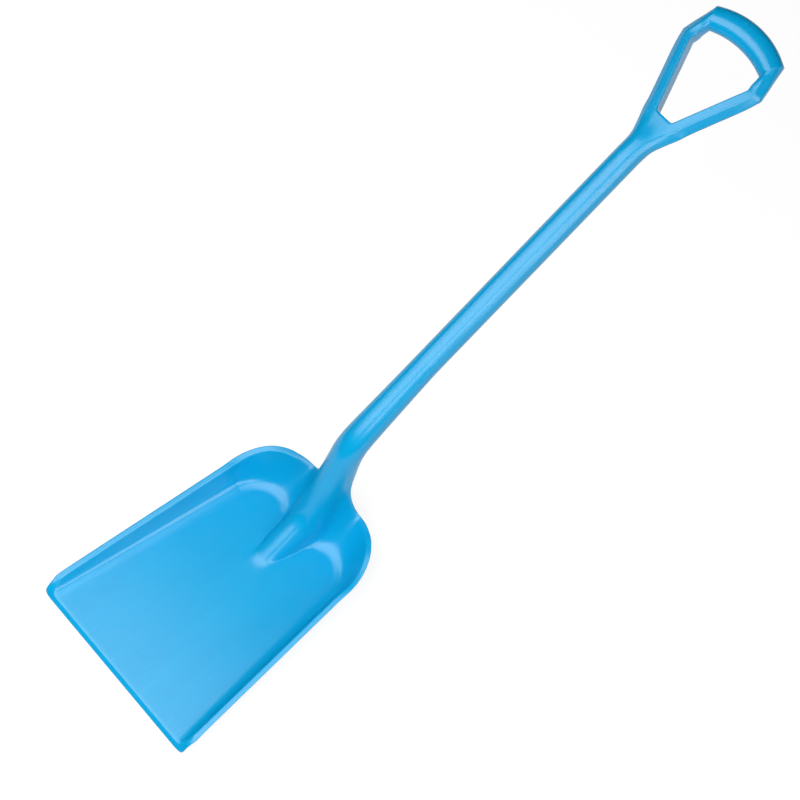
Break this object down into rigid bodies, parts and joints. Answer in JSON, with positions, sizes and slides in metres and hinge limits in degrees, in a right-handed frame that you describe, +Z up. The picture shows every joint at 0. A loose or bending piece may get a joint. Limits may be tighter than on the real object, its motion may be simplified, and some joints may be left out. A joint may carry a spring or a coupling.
{
  "type": "snow shovel",
  "caption": "Moulded plastic snow shovel with a shallow tapered scoop blade, a bent neck, a round tube shaft and a D-shaped hand grip.",
  "frame": {"origin": "on the middle line of the blade's flat underside, 150 mm behind its front edge", "axes": "+X across the blade, +Y from the front edge towards the grip, +Z up from the blade lying flat"},
  "size_m": [0.2658, 0.9568, 0.4279],
  "materials": {
    "blade_plastic": "satin moulded polypropylene",
    "shaft_plastic": "satin moulded polypropylene",
    "yoke_plastic": "satin moulded polypropylene",
    "bar_plastic": "satin moulded polypropylene"
  },
  "bodies": {
    "root": {"blade": "blade_plastic", "shaft": "shaft_plastic", "grip_yoke": "yoke_plastic", "grip_bar": "bar_plastic"}
  },
  "joints": []
}
